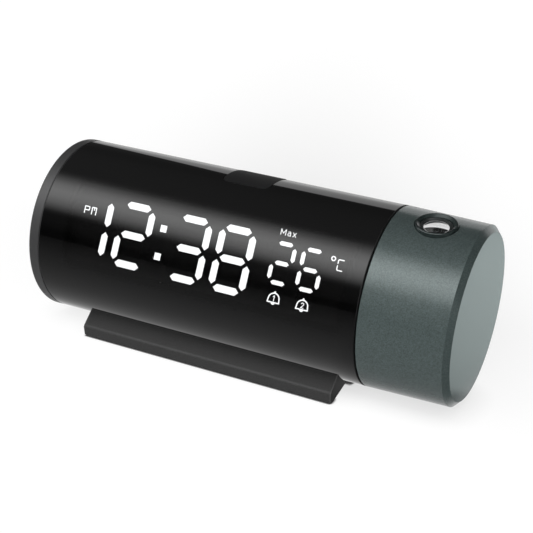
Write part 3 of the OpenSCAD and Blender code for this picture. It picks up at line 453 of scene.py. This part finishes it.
def sign_shapes():
    letter_p = [(-68.2, 4.6), (-68.2, 7.28), (-66.4, 7.28), (-66.2, 7.1), (-66.2, 6.07), (-66.4, 5.89), (-68.2, 5.89)]
    letter_m = [(-64.95, 4.6), (-64.95, 7.15), (-64.8, 7.3), (-63.2, 7.3), (-63.05, 7.15), (-63.05, 4.6)]
    middle_of_m = [(-63.95, 7.3), (-63.95, 6.25)]
    degree = arc_points(37.37, 9.1, 0.74, 0, 345, 23)
    letter_c = ([(41.45, 9.17), (39.7, 9.17), (39.38, 8.85), (39.38, 7.75)],
                [(39.38, 6.85), (39.38, 5.55), (39.7, 5.25), (41.4, 5.25)])
    max_and_numbers = (
        [(15.1, 13.4), (15.1, 15.45), (16.05, 14.0), (17.0, 15.45), (17.0, 13.4)],
        [(17.95, 14.8), *arc_points(18.5, 14.5, 0.48, 90, 0, 6), (18.98, 13.4)],
        [(18.98, 14.3), *arc_points(18.35, 13.86, 0.44, 90, 270, 8), (18.98, 13.6)],
        [(19.95, 13.4), (21.15, 14.95)],
        [(19.95, 14.95), (21.15, 13.4)],
        [(17.8, -9.55), (18.25, -9.15), (18.25, -11.1)],
        [*arc_points(29.65, -9.72, 0.5, 165, -25, 8), (29.15, -11.05), (30.2, -11.05)])
    shapes = [*stroke(letter_p, PEN), *stroke(letter_m, PEN), *stroke(middle_of_m, 0.36), *stroke(degree, PEN, True)]
    for points in letter_c:
        shapes += stroke(points, PEN - 0.02)
    for x in BELLS_X:
        shapes += bell_shapes(x)
    for points in max_and_numbers:
        shapes += stroke(points, THIN)
    return shapes


def make_display():
    lit, dark = [], []
    for size, x, on, lacks in DIGITS:
        lit += digit_shapes(x, size, on)
        dark += digit_shapes(x, size, [b for b in BARS if b not in on and b not in lacks])
    lit += [box_shape(COLON_X, side * COLON_S, COLON_SIDE, COLON_SIDE) for side in (-1, 1)]
    dark += [box_shape(x, s, wide - CELL_GAP, high - CELL_GAP) for x, s, wide, high in WINDOWS]
    back = FACE_D - CELL_DEPTH
    lit_bars = slab("lit_bars", lit, back, FACE_D)
    dark_cells = slab("dark_cells", dark, back, FACE_D - DARK_SINK)
    lit_signs = slab("lit_signs", sign_shapes(), FACE_D - SIGN_DEPTH, FACE_D + SIGN_RISE)
    for piece, slot in ((lit_bars, "display_white"), (lit_signs, "display_white"), (dark_cells, "inner_black")):
        piece.data.materials.append(FINISH[slot])
        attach(piece, "clock_body")
    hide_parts("display_segments")


# ---- stage -----------------------------------------------------------------------------------------------------------

# What glossy surfaces mirror, as levels of white. SKY and BACK go by degrees up from the front, over the top and down
# behind; FLOOR goes by y and BESIDE by the distance from the head's end, both in metres
SKY = [(-90, 0.0), (0, 0.03), (3, 0.05), (11, 0.08), (20, 0.10), (24, 0.25), (28, 0.8), (36, 2.1), (45, 3.1),
       (53, 3.4), (62, 2.65), (70, 1.35), (75, 0.7), (79, 0.34), (84, 0.20), (100, 0.17), (116, 0.13), (132, 0.08),
       (142, 0.06), (180, 0.06)]
BACK = [(140, 0.80), (148, 0.80), (156, 0.70), (164, 0.66), (172, 0.85), (180, 0.88)]
FLOOR = [(-0.30, 0.02), (-0.276, 0.02), (-0.274, 0.085), (-0.196, 0.11), (-0.126, 0.17), (-0.094, 0.23),
         (-0.062, 0.32), (-0.045, 0.40), (-0.035, 0.43), (-0.027, 0.50), (-0.020, 0.56), (-0.014, 0.75), (-0.008, 1.0),
         (0.04, 1.0), (0.25, 0.8), (0.6, 0.8)]
BESIDE = [(0, 0.0), (0.010, 0.10), (0.018, 0.6), (0.06, 0.78), (0.12, 0.95), (0.2, 1.12)]
BESIDE_TINT = (0.88, 1.0, 0.99)
HEAD_END = 87.5 * MM
SLANT_LIMIT = 1.5            # of how far along the tube a direction leans
WALL_FOOT = 148.0            # where the wall behind begins, in degrees
SKY_FILL = 0.22              # of the even light from all round
KEY_FILL = 1.15              # of the soft lamp in front and above
FLOOR_HALF = 6.0
FLOOR_GLOW = 0.945           # with the light that falls on it, this makes the floor white
FLOOR_SEEN = (0.15, 0.15, 0.15)
FLOOR_PALE = (0.85, 0.85, 0.85)
SHADOW_ALONG = (-0.34, 0.94)     # where the soft shadow points, in x and y
SHADOW_FADE = (-3.7, -112.0)     # along it per metre, and across it per square metre
SHADOW_DEPTH = 0.39
NEAR_REACH = 11 * MM         # of the shade behind the tube's underside
TOUCH_REACH = 1.5 * MM       # of the shade round the foot, short enough not to meet the tube
CAMERA_AT = (0.187117, -0.424322, 0.193504)
CAMERA_AXES = ((0.89918, 0.42803, 0.09098), (-0.21614, 0.25366, 0.94283), (0.38052, -0.86741, 0.32064))
CAMERA_LENS = 84.067


def make_world():
    w = bpy.data.worlds.new("studio")
    scene.world = w
    t = Tree(w)
    x, y, z = t.axes(t.put("TexCoord").outputs["Generated"])
    slant = t.math("DIVIDE", x, t.math("MAXIMUM", t.length(y, z), 0.05))
    steep = t.ramp(slant, 1.6, 3.0, 1.0, 0.15)
    slant = t.math("MINIMUM", t.math("MAXIMUM", slant, -SLANT_LIMIT), SLANT_LIMIT)
    angle = t.math("DEGREES", t.math("ARCTAN2", z, t.mul(y, -1.0)))
    moved = t.add(angle, t.mul(t.add(slant, 0.45), 10.0))
    low = t.mul(t.ramp(slant, -0.31, -0.28), t.ramp(angle, 92.0, 104.0, 0.0, 0.8))
    band = t.mul(t.curve(moved, SKY, -90, 180), steep, t.rest(low))
    to_left = t.math("MAXIMUM", t.mul(t.sub(-0.44, slant), 100.0), 0.0)
    to_right = t.math("MAXIMUM", t.mul(t.sub(slant, 0.1), 40.0), 0.0)
    behind = t.ramp(t.sub(angle, t.add(WALL_FOOT, to_left, to_right)), -1.0, 1.0, smooth=True)
    mirrored = t.add(t.mul(band, t.rest(behind)), t.mul(behind, t.curve(angle, BACK, 140, 180)))
    path = t.put("LightPath")
    level = t.put("Mix", {"data_type": "FLOAT"})
    for i, value in ((0, path.outputs["Is Glossy Ray"]), (2, SKY_FILL), (3, mirrored)):
        t.feed(level.inputs[i], value)
    seen = t.math("MAXIMUM", path.outputs["Is Camera Ray"], level.outputs[0])
    t.end(t.put("Background", Color=WHITE, Strength=seen), "OutputWorld")


def closeness(t, reach):
    """How open a point is to its surroundings within this reach."""
    return t.put("AmbientOcclusion", {"samples": 16}, Distance=reach).outputs["AO"]


def seen_floor(t, x, y, grain):
    """The floor as the camera sees it: white, with the soft shadow and the shades of contact."""
    along = t.add(t.mul(x, SHADOW_ALONG[0]), t.mul(y, SHADOW_ALONG[1]))
    across = t.sub(t.mul(x, SHADOW_ALONG[1]), t.mul(y, SHADOW_ALONG[0]))
    fade = t.add(t.mul(along, SHADOW_FADE[0]), t.mul(t.mul(across, across), SHADOW_FADE[1]))
    shadow = t.mul(t.math("EXPONENT", fade), SHADOW_DEPTH, t.ramp(y, -0.02, 0.1))
    near = t.mul(t.rest(closeness(t, NEAR_REACH)), t.ramp(y, -0.032, -0.012))
    level = t.ramp(near, 0.0, 1.0, FLOOR_GLOW, t.ramp(x, -0.06, 0.0, 0.82, 0.72))
    touch = t.ramp(closeness(t, TOUCH_REACH), 0.45, 0.85)
    both = t.put("AddShader")
    t.feed(both.inputs[0], t.put("BsdfDiffuse", Color=shade(t, FLOOR_SEEN, 0.004, grain)))
    t.feed(both.inputs[1], t.put("Emission", Color=WHITE,
                                 Strength=t.mul(t.math("MAXIMUM", t.sub(level, shadow), 0.0), touch)))
    return both


def mirrored_floor(t, x, y):
    """The floor as glossy surfaces mirror it."""
    past = t.ramp(x, 0.087, 0.095)
    far = t.length(t.sub(x, HEAD_END), y)
    aside = t.mul(t.curve(far, BESIDE, 0, 0.2), t.ramp(y, -0.02, 0.0, 0.35, 1.0))
    beside = t.add(t.mul(aside, past), t.mul(t.ramp(x, 0.036, 0.05, 1.0, 0.75), t.rest(past)))
    return t.put("Emission", Color=t.blend(past, WHITE, BESIDE_TINT),
                 Strength=t.mul(beside, t.curve(y, FLOOR, -0.30, 0.6)))


def make_floor():
    mesh = bpy.data.meshes.new("floor")
    r = FLOOR_HALF
    mesh.from_pydata([(-r, -r, 0), (r, -r, 0), (r, r, 0), (-r, r, 0)], [], [(0, 1, 2, 3)])
    floor = bpy.data.objects.new("floor", mesh)
    scene.collection.objects.link(floor)
    m, t = made("floor")
    x, y, _ = t.axes(t.put("NewGeometry").outputs["Position"])
    path = t.put("LightPath")
    grain = noise(t, 300.0)
    plain = t.put("BsdfDiffuse", Color=shade(t, FLOOR_PALE, 0.004, grain))
    unmirrored = t.mix(path.outputs["Is Camera Ray"], plain, seen_floor(t, x, y, grain))
    t.end(t.mix(path.outputs["Is Glossy Ray"], unmirrored, mirrored_floor(t, x, y)))
    mesh.materials.append(m)


def make_lamp():
    data = bpy.data.lights.new("key", "SUN")
    data.energy = math.pi * KEY_FILL
    data.angle = math.radians(70)
    key = bpy.data.objects.new("key", data)
    scene.collection.objects.link(key)
    key.rotation_mode = "QUATERNION"
    key.rotation_quaternion = Vector((0.05, 0.97, -0.18)).to_track_quat("-Z", "Y")
    key.visible_glossy = False


def make_camera():
    data = bpy.data.cameras.new("camera")
    data.sensor_fit, data.sensor_width, data.lens = "HORIZONTAL", 36, CAMERA_LENS
    data.clip_start, data.clip_end = 0.01, 50
    cam = bpy.data.objects.new("camera", data)
    scene.collection.objects.link(cam)
    cam.matrix_world = Matrix.Translation(CAMERA_AT) @ Matrix(CAMERA_AXES).transposed().to_4x4()
    scene.camera = cam


dress_nodes()
make_display()
make_world()
make_floor()
make_lamp()
make_camera()
scene.view_settings.view_transform = "Standard"
